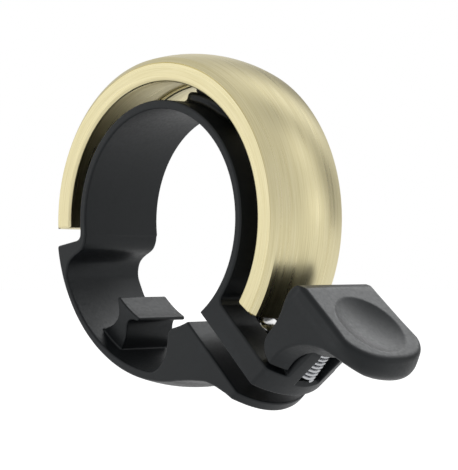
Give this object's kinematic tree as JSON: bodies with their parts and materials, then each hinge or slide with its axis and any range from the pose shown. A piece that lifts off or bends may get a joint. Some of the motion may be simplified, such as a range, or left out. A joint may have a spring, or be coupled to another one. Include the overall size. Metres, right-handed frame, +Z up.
{
  "type": "bicycle bell",
  "caption": "Handlebar bicycle bell: an open metal ring mounted around a split plastic band clamp, rung by a sprung thumb lever with a steel hammer.",
  "frame": {"origin": "centre of the clamp bore, half way along the handlebar", "axes": "+Y along the handlebar, +X to the thumb lever's side, +Z up"},
  "size_m": [0.0635, 0.0146, 0.0509],
  "materials": {
    "black_nylon": "satin, very fine moulded grain",
    "brushed_brass": "pale, brushed around the ring, faces ground flat",
    "rubber": "dull",
    "zinc_steel": "zinc plated",
    "turned_brass": "turned",
    "bright_steel": "bright, rounded",
    "spring_steel": "bright drawn wire"
  },
  "bodies": {
    "clamp": {"clamp_band": "black_nylon", "bell_ring": "brushed_brass", "ring_isolator": "rubber", "ring_screw": "zinc_steel", "clamp_washer": "zinc_steel", "clamp_nut": "turned_brass", "pivot_pins": "bright_steel", "return_spring": "spring_steel"},
    "clamp_screw": {"clamp_screw": "zinc_steel"},
    "lever": {"lever": "black_nylon", "hammer": "bright_steel"}
  },
  "joints": [
    {"name": "lever_pivot", "type": "hinge", "parent": "clamp", "child": "lever", "pos_m": [0.02421, 0, -0.01767], "axis": [0, 1, 0], "range_deg": [0, 12.5], "stiffness_Nm_per_rad": 0.05, "springref_deg": -20.05, "deforming": ["return_spring"]},
    {"name": "clamp_screw_turn", "type": "hinge", "parent": "clamp", "child": "clamp_screw", "pos_m": [0.01905, 0, -0.01827], "axis": [0.6921, 0, 0.7218], "continuous": true}
  ]
}
